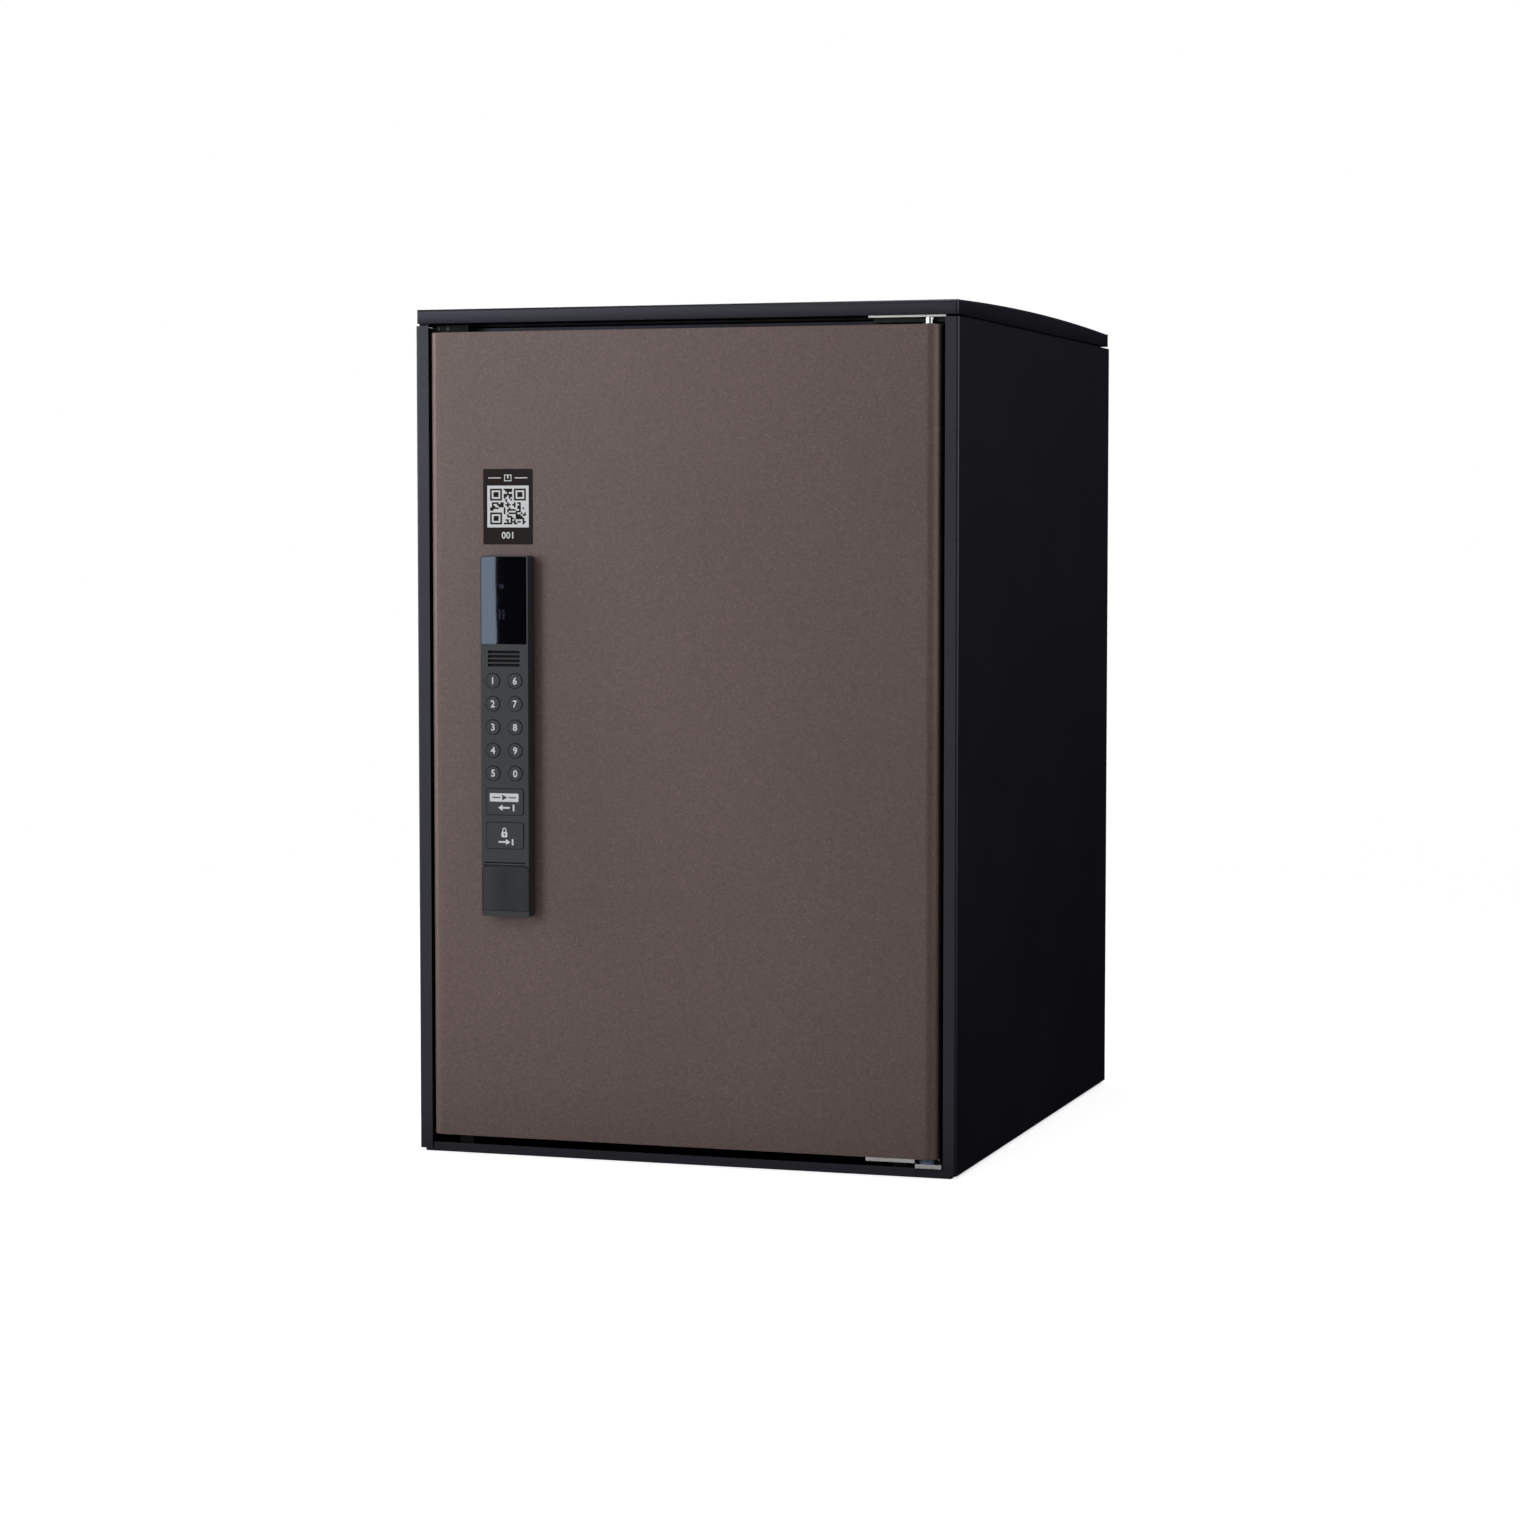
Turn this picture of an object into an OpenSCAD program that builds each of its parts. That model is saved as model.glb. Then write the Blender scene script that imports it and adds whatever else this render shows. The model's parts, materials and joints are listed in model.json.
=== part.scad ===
// Parcel locker: a folded sheet steel cabinet with a crowned roof, a side-hung
// door with rounded vertical edges, and an electronic keypad lock on the door.
// The origin is the centre of the whole object's footprint, on the floor.
// +Z is up and the door faces -Y. Millimetres.
// Lengths below are laid out from the cabinet's front left lower corner and
// module place() moves them to the origin.

/* [Cabinet] */
// Width over the side panels
cab_w = 390; // [380:1:420]
// Depth from the front stiles to the rivet heads on the back
cab_d = 461; // [440:1:480]
// Height to the top of the crowned roof
cab_h = 592; // [585:1:620]
// Sheet thickness of the cabinet panels
sheet_t = 1.2; // [1:0.1:1.4]
// Width of the front stiles
stile_w = 9.5; // [9:0.1:9.7]
// Height of the roof lid's front lip
lid_lip = 9.6; // [8:0.1:9.6]
// Rise of the roof from its front edge to its crown
lid_camber = 3.4; // [2.5:0.1:3.5]
// Radius of the floor anchor holes
anchor_r = 5; // [4:0.5:6]

/* [Door] */
// How far the door stands in front of the stiles
door_proud = 4; // [3.5:0.5:4]
// Radius of the door's rounded vertical edges
edge_r = 9; // [8.5:0.5:9]
// Sheet thickness of the door skin
skin_t = 1.5; // [1.2:0.1:1.5]
// Radius of the hinge pins
pin_r = 3; // [2.5:0.1:3.2]
// Radial clearance of the door leaves on the pins
pin_gap = 0.05; // [0.02:0.01:0.09]

/* [Keypad] */
// Left edge of the keypad from the cabinet's left side
pad_x = 53.9; // [53:0.1:55]
// Width of the keypad housing
pad_w = 35; // [35:0.1:36]
// Depth of the keypad keys' travel
key_travel = 1.2; // [0.8:0.1:1.2]
// Radius of the round keys
key_r = 4.9; // [4.6:0.1:4.9]

/* [Lock] */
// Width of the lock bolt
bolt_w = 16; // [12:0.5:16]
// Diameter of the key cylinder's plug
plug_d = 12; // [10:0.5:12]

/* [Hidden] */
$fn = 64;
gear_m = 0.5;                      // module of the bolt's rack and pinion
gear_z = 12;                       // teeth on the pinion
t = sheet_t;
W = cab_w;
yb = cab_d - 1;                    // back of the sheets, in front of the rivet heads
pad_face = -door_proud - 11.5;     // front of the keypad housing
key_face = pad_face - 0.5;         // front of the keys, the foremost point
yc = (cab_d + key_face) / 2;       // centre of the whole depth
z_side0 = 2;                       // bottom of the side panels
z_side1 = cab_h - 14.7;            // top of the side panels
z_lid = cab_h - 13.1;              // bottom of the roof lid
z_edge = cab_h - lid_camber;       // roof height at its front and back edges
z_d0 = 13;                         // door bottom
z_d1 = cab_h - 19.7;               // door top
x_d0 = 10.8;                       // door left edge
x_d1 = W - 12.5;                   // door right edge
xp = x_d1 - edge_r;                // hinge pin axis
yp = edge_r - door_proud;          // hinge pin axis
y_in = 18;                         // back of the door skin
pad_x1 = pad_x + pad_w;
pad_z0 = 169;
pad_z1 = 418.3;
y_gask = -door_proud - 0.5;
key_cx = [pad_x + 9, pad_x + 25.4];
key_cz = [332.2, 316.3, 300.2, 284.1, 268.3];
cyl_x = pad_x + 17.5;
cyl_z = 189;
mot_x = 30;
rp = gear_m * gear_z / 2;          // pinion pitch radius
rack_y = 7.2;                      // rack pitch line
mot_y = rack_y - rp;

navy = [0.13, 0.13, 0.17];
brown = [0.36, 0.30, 0.28];
zinc = [0.80, 0.79, 0.78];
pad_c = [0.24, 0.25, 0.26];

// ---------- helpers ----------
module place() translate([-W / 2, -yc, 0]) children();
module bx(x0, y0, z0, x1, y1, z1) translate([x0, y0, z0]) cube([x1 - x0, y1 - y0, z1 - z0]);
module cx(y, z, x0, x1, r) translate([x0, y, z]) rotate([0, 90, 0]) cylinder(h = x1 - x0, r = r);
module cy(x, z, y0, y1, r) translate([x, y0, z]) rotate([-90, 0, 0]) cylinder(h = y1 - y0, r = r);
module cz(x, y, z0, z1, r) translate([x, y, z0]) cylinder(h = z1 - z0, r = r);
module rr2(x0, y0, x1, y1, r) {
  translate([x0 + r, y0]) square([x1 - x0 - 2 * r, y1 - y0]);
  translate([x0, y0 + r]) square([x1 - x0, y1 - y0 - 2 * r]);
  for (x = [x0 + r, x1 - r], y = [y0 + r, y1 - r]) translate([x, y]) circle(r = r);
}
// rounded rectangle in the XZ plane, from y0 to y1
module rry(x0, z0, x1, z1, r, y0, y1)
  translate([0, y1, 0]) rotate([90, 0, 0]) linear_extrude(y1 - y0) rr2(x0, z0, x1, z1, r);
// outline in the YZ plane, from x0 to x1
module yz(x0, x1) translate([x0, 0, 0]) rotate([90, 0, 90]) linear_extrude(x1 - x0) children();
module seg(a, b, r) {
  d = b - a; L = norm(d);
  translate(a) rotate([0, acos(d[2] / L), atan2(d[1], d[0])]) cylinder(h = L, r = r, $fn = 24);
}

// ---------- cabinet ----------
// positions of the back rivets and of the roof screws
riv_z = [40, 165, 290, 415, 540];
module back_rivet_at() for (x = [9, W - 9], z = riv_z) translate([x, yb, z]) children();
module roof_screw_at() for (x = [8, W - 8], y = [70, yb - 60]) translate([x, y, 0]) children();

// side sheet with its rolled front corner and its rear flange
module side_sheet() difference() {
  translate([0, 0, z_side0]) linear_extrude(z_side1 - z_side0) {
    translate([0, 2]) square([t, yb - 2]);
    intersection() {
      difference() {
        translate([2, 2]) circle(r = 2);
        translate([2, 2]) circle(r = 2 - t);
      }
      square([2, 2]);
    }
    translate([0, yb - t]) square([16, t]);
  }
  for (z = riv_z) cy(9, z, yb - t - 1, yb + 1, 1.6);
}
// channel section that closes the front edge of the side sheet
module stile() {
  bx(2, 0, z_side0, stile_w, t, z_side1);
  bx(stile_w - t, t / 2, 10, stile_w, 7.5, z_d1);
  bx(t, 2, 12, 2 * t, 7.4, z_d1);
  bx(2, t / 2, 12, 2 * t, 2.1, z_d1);
}
module other_side() translate([W, 0, 0]) mirror([1, 0, 0]) children();
module left_side_panel() color(navy) place() side_sheet();
module right_side_panel() color(navy) place() other_side() side_sheet();
module left_stile() color(navy) place() stile();
module right_stile() color(navy) place() other_side() stile();
// four spot-welded strips that carry the floor and the ceiling
module side_rails() color(navy) place() difference() {
  for (z = [z_side0, z_side1 - t]) {
    bx(t, 26, z, 14, yb - 5, z + t);
    bx(W - 14, 26, z, W - t, yb - 5, z + t);
  }
  roof_screw_at() cz(0, 0, z_side1 - t - 1, z_side1 + 1, 2.2);
}

wall_x = [W / 2 - 110, W / 2 + 110];
wall_z = [100, 480];
module back_panel() color(navy) place() difference() {
  bx(t + 0.1, yb - 2 * t, z_side0 + t + 0.1, W - t - 0.1, yb - t, z_side1 - t);
  for (x = [9, W - 9], z = riv_z) cy(x, z, yb - 2 * t - 1, yb, 1.6);
  for (x = wall_x, z = wall_z) cy(x, z, yb - 2 * t - 1, yb, 4.5);
}

anchor_x = [W / 2 - 145, W / 2 + 145];
anchor_y = [60, 400];
module floor_pan() color(navy) place() difference() {
  union() {
    bx(4, 1.4, 0, W - 4, yb - 2 * t, z_side0);
    bx(4, 1.4, 0, W - 4, 3.4, 6.3);
    bx(16.5, yb - 2 * t - 1.5, 0, W - 16.5, yb - 2 * t, 14);
  }
  for (x = anchor_x, y = anchor_y) cz(x, y, -1, z_side0 + 1, anchor_r);
  bx(xp - 7.2, 1, z_side0, xp - 6.9, 1.75, 7);
}

module ceiling_panel() color(navy) place() difference() {
  union() {
    bx(t + 0.1, 22, z_side1 - 2 * t, W - t - 0.1, yb - 2 * t - 0.1, z_side1 - t);
    bx(t + 0.1, 22, z_side1 - 17.3, W - t - 0.1, 22 + t, z_side1 - t);
  }
  for (x = [8, W - 8], y = [70, yb - 60]) cz(x, y, z_side1 - 2 * t - 1, z_side1, 2.2);
}

// roof outline in YZ, inset by o
function lid_z(y) = z_edge + lid_camber * (1 - pow((y - yb / 2) / (yb / 2), 2));
function lid_pts(o, z0) = concat(
  [[o, z0]],
  [for (a = [180:-15:90]) [2.4 + (2.4 - o) * cos(a), lid_z(2.4) - 2.4 + (2.4 - o) * sin(a)]],
  [for (k = [1:31]) let (y = 2.4 + (yb - 4.8) * k / 32) [y, lid_z(y) - o]],
  [for (a = [90:-15:0]) [yb - 2.4 + (2.4 - o) * cos(a), lid_z(2.4) - 2.4 + (2.4 - o) * sin(a)]],
  [[yb - o, z0]]);
module roof_lid() color(navy) place() difference() {
  intersection() {
    yz(0.6, W - 0.6) polygon(lid_pts(0, z_lid));
    translate([0, 0, z_lid - 1]) linear_extrude(20) rr2(0.6, 0, W - 0.6, yb, 2);
  }
  yz(0.6 + t, W - 0.6 - t) polygon(lid_pts(t, z_lid + t));
  bx(14, 14, z_lid - 1, W - 14, yb - 14, z_lid + 2 * t);
  for (x = [8, W - 8], y = [70, yb - 60]) cz(x, y, z_lid - 1, z_lid + t + 1, 1.75);
}
module roof_spacer() color([0.05, 0.05, 0.06]) place() difference() {
  union() {
    bx(3.5, 24, z_side1, W - 3.5, yb - 22, z_lid);
    bx(2.2, 1.6, z_side1, 9.4, 30, z_lid);
  }
  bx(13.5, 34, z_side1 - 1, W - 13.5, yb - 32, z_lid + 1);
  for (x = [8, W - 8], y = [70, yb - 60]) cz(x, y, z_side1 - 1, z_lid + 1, 2.2);
}

// hinge brackets, fixed to the right side wall by a leg; each holds its pin
z_lb = 6.5;                  // lower bracket, top at +3
z_ub = z_lid - 1.6;          // upper bracket's top plate
module lower_hinge_bracket() color(zinc) place() difference() {
  union() {
    bx(xp - 7, yp - 7, z_lb, W - stile_w - 0.4, yp + 7, z_lb + 3);
    bx(W - stile_w - 1, 2.2, z_lb, W - t, 20, z_lb + 3);
    bx(W - t - 3, 9, z_lb, W - t, 20, 52);
  }
  cz(xp, yp, z_lb - 1, z_lb + 4, pin_r);
}
module upper_hinge_bracket() color(zinc) place() difference() {
  union() {
    bx(xp - 41.5, t + 0.1, z_ub, W - stile_w, 21.8, z_lid - 0.2);
    bx(xp - 40, yp + 3.6, z_d1 + 2, W - t, 21.8, z_ub + 0.1);
    bx(W - t - 3, 9, z_d1 - 40, W - t, 20, z_ub);
  }
  cz(xp, yp, z_ub - 1, z_ub + 4, pin_r);
}
module lower_hinge_pin() color([0.85, 0.85, 0.87]) place() cz(xp, yp, z_lb, 20, pin_r);
module upper_hinge_pin() color([0.85, 0.85, 0.87]) place() cz(xp, yp, z_d1 - 8, z_lid - 0.2, pin_r);

module bolt_keeper() color(navy) place() bx(t, 7.5, 190, stile_w, 8.7, 254);
module magnet_catch() color([0.08, 0.08, 0.09]) place() difference() {
  bx(11.5, 9, z_d1 + 0.8, 36, 22, z_d1 + 5.6);
  for (x = [14, 21]) cy(x, z_d1 + 3.2, 8, 18, 0.9);
}
module stop_bumpers() color([0.1, 0.1, 0.1]) place() {
  for (x = [60, 325]) {
    cy(x, z_side1 - 11, 19.4, 22, 4.5);
  }
  for (x = [22, W - 50]) bx(x, 19.4, z_side0 + t, x + 11, 26, 24);
}
module panel_rivets() color(zinc) place() back_rivet_at() {
  cy(0, 0, 0, 0.6, 3.2);
  cy(0, 0, 0.6, 1, 2.2);
  cy(0, 0, -2 * t - 1.2, 0, 1.6);
  cy(0, 0, -2 * t - 1.2, -2 * t, 2.4);
}
module cabinet_screws() color([0.12, 0.12, 0.13]) place() {
  roof_screw_at() {
    cz(0, 0, z_side1 - 2 * t - 2, z_side1 - 2 * t, 3.4);
    cz(0, 0, z_side1 - 2 * t, z_lid + t + 2, 1.75);
  }
  for (x = [14, 21]) {
    cy(x, z_d1 + 3.2, 8.2, 9, 1.3);
    cy(x, z_d1 + 3.2, 9, 18, 0.9);
  }
}

// ---------- door ----------
// plan outline of the door, inset by o
module door_plan(o, back) {
  translate([xl(), -door_proud + o]) square([xp - xl(), back + door_proud - o]);
  translate([x_d0 + o, yp]) square([x_d1 - x_d0 - 2 * o, back - yp]);
  for (x = [xl(), xp]) translate([x, yp]) circle(r = edge_r - o);
}
function xl() = x_d0 + edge_r;
scr_z = [45, 200, 292, 400, z_d1 - 30];
module door_screw_at() for (x = [18, x_d1 - 7.5], z = scr_z) if (x > 20 || (z != 200 && z != 400)) translate([x, 0, z]) children();
leaf_x = [xp - 32, xp - 17];
pad_sx = [pad_x + 8.6, pad_x + 26.4];
pad_sz = [211, 412.5];
module door_skin() color(brown) place() difference() {
  union() {
    translate([0, 0, z_d0]) linear_extrude(z_d1 - z_d0) difference() {
      door_plan(0, y_in);
      door_plan(skin_t, y_in + 1);
    }
    translate([0, 0, z_d0]) linear_extrude(skin_t) door_plan(0, y_in);
    translate([0, 0, z_d1 - skin_t]) linear_extrude(skin_t) door_plan(0, y_in);
    bx(x_d0 + 0.5, y_in - 1.2, z_d0, 24, y_in, z_d1);
    bx(x_d1 - 13, y_in - 1.2, z_d0, x_d1 - 0.5, y_in, z_d1);
  }
  cz(xp, yp, z_d0 - 1, z_d0 + 3, pin_r + 1.2);
  cz(xp, yp, z_d1 - 3, z_d1 + 1, pin_r + 1.2);
  for (x = leaf_x) cz(x, yp, z_d0 - 1, z_d0 + 3, 1.75);
  bx(x_d0 - 1, 8.8, 213.8, x_d0 + 3, 15.2, 230.2);
  cy(cyl_x, cyl_z, -door_proud - 1, 0, 8.6);
  cy(cyl_x, 300, -door_proud - 1, 0, 4);
  for (x = pad_sx, z = pad_sz) cy(x, z, -door_proud - 1, 0, 1.6);
  door_screw_at() cy(0, 0, y_in - 3, y_in + 1, 1.4);
  bx(15, y_in - 2, 320.8, 24.5, y_in + 1, 388.2);
}
module door_inner_panel() color(brown) place() difference() {
  bx(14, y_in, z_d0 + 3, x_d1 - 3.2, y_in + 1.2, z_d1 - 3);
  bx(15, y_in - 1, 320.8, 81, y_in + 2, 388.2);
  door_screw_at() cy(0, 0, y_in - 1, y_in + 2, 1.4);
}
module lower_door_leaf() color(zinc) place() difference() {
  union() {
    bx(xp - 41.5, yp - 7, z_d0 - 3, xp - 7, 16, z_d0);
    bx(xp - 8, yp + 5.8, z_d0 - 3, xp + 7, 16, z_d0);
  }
  for (x = leaf_x) { cz(x, yp, z_d0 - 4, z_d0 + 1, 1.75); translate([x, yp, z_d0 - 3]) cylinder(h = 1.8, r1 = 3.5, r2 = 1.75); }
}
// stiffening plate under the door's top flange
module upper_door_leaf() color(zinc) place() difference() {
  union() {
    cz(xp, yp, z_d1 - skin_t - 3, z_d1 - skin_t, 7);
    bx(xp - 41.5, yp - 7, z_d1 - skin_t - 3, xp, yp + 7, z_d1 - skin_t);
  }
  cz(xp, yp, z_d1 - skin_t - 4, z_d1, pin_r + 1.2);
}
module hinge_bushes() color([0.42, 0.47, 0.56]) place() {
  difference() {
    union() {
      cz(xp, yp, z_lb + 3.05, z_d0, 5.5);
      cz(xp, yp, z_d0, z_d0 + 3.5, pin_r + 1.2);
    }
    cz(xp, yp, z_lb, z_d0 + 5, pin_r + pin_gap);
  }
  difference() {
    union() {
      cz(xp, yp, z_d1, z_d1 + 0.7, 4.7);
      cz(xp, yp, z_d1 - 4.5, z_d1, pin_r + 1.2);
    }
    cz(xp, yp, z_d1 - 6, z_d1 + 2, pin_r + pin_gap);
  }
}
module leaf_screws() color([0.7, 0.7, 0.72]) place() for (x = leaf_x) {
  translate([x, yp, z_d0 - 3]) cylinder(h = 1.8, r1 = 3.5, r2 = 1.75);
  cz(x, yp, z_d0 - 1.3, z_d0 + 8, 1.75);
}
module door_screws() color(zinc) place() door_screw_at() {
  cy(0, 0, y_in + 1.2, y_in + 2.4, 3);
  cy(0, 0, y_in - 5, y_in + 1.2, 1.4);
}
module door_label() color([0.14, 0.10, 0.09]) place()
  rry(pad_x - 2.1, 426, pad_x + 34.4, 478, 1, -door_proud - 0.3, -door_proud);

// ---------- keypad ----------
win = [pad_x + 0.6, 357.4, pad_x1 - 1, 417.6];
module key_hole_at() for (x = key_cx, z = key_cz) translate([x, 0, z]) children();
ok = [pad_x + 4.2, 239.8, pad_x + 31.1, 257.6];
lk = [pad_x + 4.2, 216.3, pad_x + 31.1, 234.2];
cov_z0 = 173.2;
cov_ax = [pad_face + 1.35, 205.1];
module keypad_housing() color(pad_c) place() difference() {
  union() {
    difference() {
      rry(pad_x, pad_z0, pad_x1, pad_z1, 1.8, pad_face, y_gask);
      // cavity behind the keys and the display
      bx(pad_x + 2, pad_face + 2, 208, pad_x1 - 2, y_gask + 1, pad_z1 - 2);
      // cavity behind the key cylinder's well
      bx(pad_x + 2, pad_face + 6.5, pad_z0 + 2, pad_x1 - 2, y_gask + 1, 206);
      // seat of the hinged cover, and the well behind it
      bx(pad_x - 1, pad_face - 1, 172.9, pad_x1 + 1, pad_face + 2.2, 206.8);
      bx(pad_x + 1, pad_face - 1, 201, pad_x1 - 1, pad_face + 2.6, 206.8);
      bx(pad_x + 4, pad_face, 176, pad_x1 - 4, pad_face + 5, 201.5);
      // display window's pocket and the display's opening
      rry(win[0], win[1], win[2], win[3], 1, pad_face - 1, pad_face + 1.4);
      bx(pad_x + 6.1, pad_face, 368, pad_x1 - 6, pad_face + 3, 408);
    }
    for (x = pad_sx) {
      cy(x, pad_sz[1], pad_face + 1.9, y_gask, 3);
      cy(x, pad_sz[0], pad_face + 1.9, y_gask, 2.5);
    }
    for (x = [pad_x, pad_x1 - 2.4]) bx(x, pad_face, 203.9, x + 2.4, pad_face + 2.8, 206.9);
  }
  for (z = [352, 349, 346, 343]) rry(pad_x + 5.3, z - 1, pad_x + 28.9, z + 1, 0.4, pad_face - 1, pad_face + 3);
  key_hole_at() { cy(0, 0, pad_face - 1, pad_face + 3, key_r + 0.2); cy(0, 0, pad_face - 1, pad_face + 1.3, key_r + 0.5); }
  rry(ok[0] - 0.2, ok[1] - 0.2, ok[2] + 0.2, ok[3] + 0.2, 1.6, pad_face - 1, pad_face + 3);
  rry(lk[0] - 0.2, lk[1] - 0.2, lk[2] + 0.2, lk[3] + 0.2, 1.6, pad_face - 1, pad_face + 3);
  for (k = [ok, lk]) rry(k[0] - 0.45, k[1] - 0.45, k[2] + 0.45, k[3] + 0.45, 1.8, pad_face - 1, pad_face + 1.3);
  cy(cyl_x, cyl_z, pad_face, y_gask, 8.6);
  for (x = pad_sx, z = pad_sz) cy(x, z, pad_face + 3.5, 0, 1.25);
  cx(cov_ax[0], cov_ax[1], pad_x + 1, pad_x + 3, 0.66);
  cx(cov_ax[0], cov_ax[1], pad_x1 - 3, pad_x1 - 1, 0.66);
}
module keypad_gasket() color([0.06, 0.06, 0.06]) place() difference() {
  rry(pad_x + 0.3, pad_z0 + 0.3, pad_x1 - 0.3, pad_z1 - 0.3, 1.6, y_gask, -door_proud);
  bx(pad_x + 2.5, y_gask - 1, pad_z0 + 2.5, pad_x1 - 2.5, 0, pad_z1 - 2.5);
}
module display_window() color([0.03, 0.03, 0.04]) place()
  rry(win[0] + 0.1, win[1] + 0.1, win[2] - 0.1, win[3] - 0.1, 0.9, pad_face, pad_face + 1.4);
module display_module() color([0.1, 0.2, 0.15]) place()
  bx(pad_x + 6.3, pad_face + 1.6, 368.2, pad_x1 - 6.2, pad_face + 6.1, 407.8);
module speaker() color([0.1, 0.1, 0.1]) place() {
  bx(pad_x + 4, pad_face + 2.05, 341, pad_x + 30.2, pad_face + 2.6, 354);
  cy(cyl_x, 347.6, pad_face + 2.1, pad_face + 3.1, 8);
  cy(cyl_x, 347.6, pad_face + 3.1, pad_face + 6.1, 6.5);
}
module key_membrane() color([0.75, 0.75, 0.72]) place() {
  bx(pad_x + 2.6, pad_face + 4.9, 214.8, pad_x1 - 2.6, pad_face + 5.7, 339);
  key_hole_at() cy(0, 0, pad_face + 2.9 + key_travel, pad_face + 5, 2.6);
  for (z = [248.7, 225.25], x = [cyl_x - 7, cyl_x + 7]) cy(x, z, pad_face + 2.9 + key_travel, pad_face + 5, 2.6);
}
module keypad_circuit_board() color([0.1, 0.35, 0.2]) place() {
  bx(pad_x + 2.6, pad_face + 6.1, 214.6, pad_x1 - 2.6, pad_face + 7.7, 409);
  bx(cyl_x - 6, pad_face + 7.7, 250, cyl_x + 6, pad_face + 9, 262);
  bx(cyl_x - 4, pad_face + 7.7, 380, cyl_x + 4, pad_face + 9, 388);
  bx(cyl_x - 5, pad_face + 7.7, 296, cyl_x + 5, pad_face + 10.5, 304);
}
module keypad_screws() color(zinc) place() for (x = pad_sx, z = pad_sz) {
  cy(x, z, -door_proud + skin_t, -door_proud + skin_t + 1.6, 2.6);
  cy(x, z, pad_face + 4, -door_proud + skin_t, 1.25);
}
module round_key(i) {
  x = key_cx[i < 5 ? 0 : 1];
  z = key_cz[i % 5];
  color([0.16, 0.17, 0.18]) place() {
    cy(x, z, key_face, pad_face + 2, key_r);
    cy(x, z, pad_face + 2, pad_face + 2.8, key_r + 1);
  }
}
module wide_key(k) color([0.16, 0.17, 0.18]) place() {
  rry(k[0], k[1], k[2], k[3], 1.5, key_face, pad_face + 2);
  rry(k[0] - 0.9, k[1] - 0.9, k[2] + 0.9, k[3] + 0.9, 2, pad_face + 2, pad_face + 2.8);
}
module key_1() round_key(0);
module key_2() round_key(1);
module key_3() round_key(2);
module key_4() round_key(3);
module key_5() round_key(4);
module key_6() round_key(5);
module key_7() round_key(6);
module key_8() round_key(7);
module key_9() round_key(8);
module key_0() round_key(9);
module open_key() wide_key(ok);
module lock_key() wide_key(lk);

// hinged cover over the key cylinder, with a scooped front
function scoop(x) = 1.1 * (1 - pow((x - cyl_x) / 16.4, 2));
module override_cover() color([0.2, 0.21, 0.23]) place() {
  translate([0, 0, cov_z0]) linear_extrude(203.1 - cov_z0) polygon(concat(
    [[pad_x1 - 0.1, pad_face + 2.1], [pad_x + 0.1, pad_face + 2.1], [pad_x + 0.1, pad_face]],
    [for (k = [0:20]) let (x = cyl_x - 16.4 + 32.8 * k / 20) [x, pad_face + scoop(x)]],
    [[pad_x1 - 0.1, pad_face]]));
  bx(pad_x + 2.7, pad_face + 1.1, 203, pad_x1 - 2.7, pad_face + 2.1, cov_ax[1]);
  cx(cov_ax[0], cov_ax[1], pad_x + 2.7, pad_x1 - 2.7, 1.05);
  cx(cov_ax[0], cov_ax[1], pad_x + 1.2, pad_x1 - 1.2, 0.6);
}

// ---------- lock ----------
module cylinder_housing() color([0.72, 0.6, 0.3]) place() difference() {
  cy(cyl_x, cyl_z, pad_face + 4.5, 14, 8.5);
  cy(cyl_x, cyl_z, pad_face + 4, 15, plug_d / 2 + 0.05);
}
module cylinder_plug() color([0.82, 0.8, 0.75]) place() difference() {
  union() {
    cy(cyl_x, cyl_z, pad_face + 4.3, 14.2, plug_d / 2);
    cy(cyl_x, cyl_z, 14.2, 16.2, 7);
    bx(cyl_x - 3, 14.2, cyl_z - 12, cyl_x + 3, 16.2, cyl_z);
  }
  bx(cyl_x - 0.7, pad_face + 4, cyl_z - 4, cyl_x + 0.7, pad_face + 14, cyl_z + 4);
}
module lock_case() color([0.5, 0.52, 0.54]) place() {
  difference() {
    intersection() {
      bx(12.4, -2.4, 172, 57.6, 15.3, 240);
      translate([0, 0, 170]) linear_extrude(80) door_plan(skin_t + 0.1, 30);
    }
    intersection() {
      bx(13.8, -1, 173.4, 56.2, 16, 238.6);
      translate([0, 0, 170]) linear_extrude(80) door_plan(skin_t + 1.5, 30);
    }
    bx(12, 8.8, 213.8, 14, 16, 230.2);
    cz(45, 6, 238, 241, 2.2);
  }
  bx(13.7, 8.2, 230.2, 50, 15.3, 231.6);
  bx(13.7, 9.5, 212.4, 50, 15.3, 213.8);
  bx(22, -1.1, 176.4, 38, 10, 177.9);
}
module lock_case_cover() color([0.5, 0.52, 0.54]) place()
  bx(12.4, 15.3, 172, 57.6, 16.5, 240);
module lock_bolt() color([0.78, 0.78, 0.8]) place() {
  bx(11.8, 9, 222 - bolt_w / 2, 46, 15, 222 + bolt_w / 2);
  bx(26.7, 7.8, 215.5, 45, 9.1, 228.5);
  p = PI * gear_m;
  a = 0.66 * gear_m;
  h = p / 4 - 0.05;
  translate([0, 0, 215.5]) linear_extrude(13) for (k = [-2:8])
    translate([mot_x + (k + 0.5) * p, rack_y])
      polygon([[-h - 0.7 * tan(20), 0.7], [-h + a * tan(20), -a], [h - a * tan(20), -a], [h + 0.7 * tan(20), 0.7]]);
}
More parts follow.
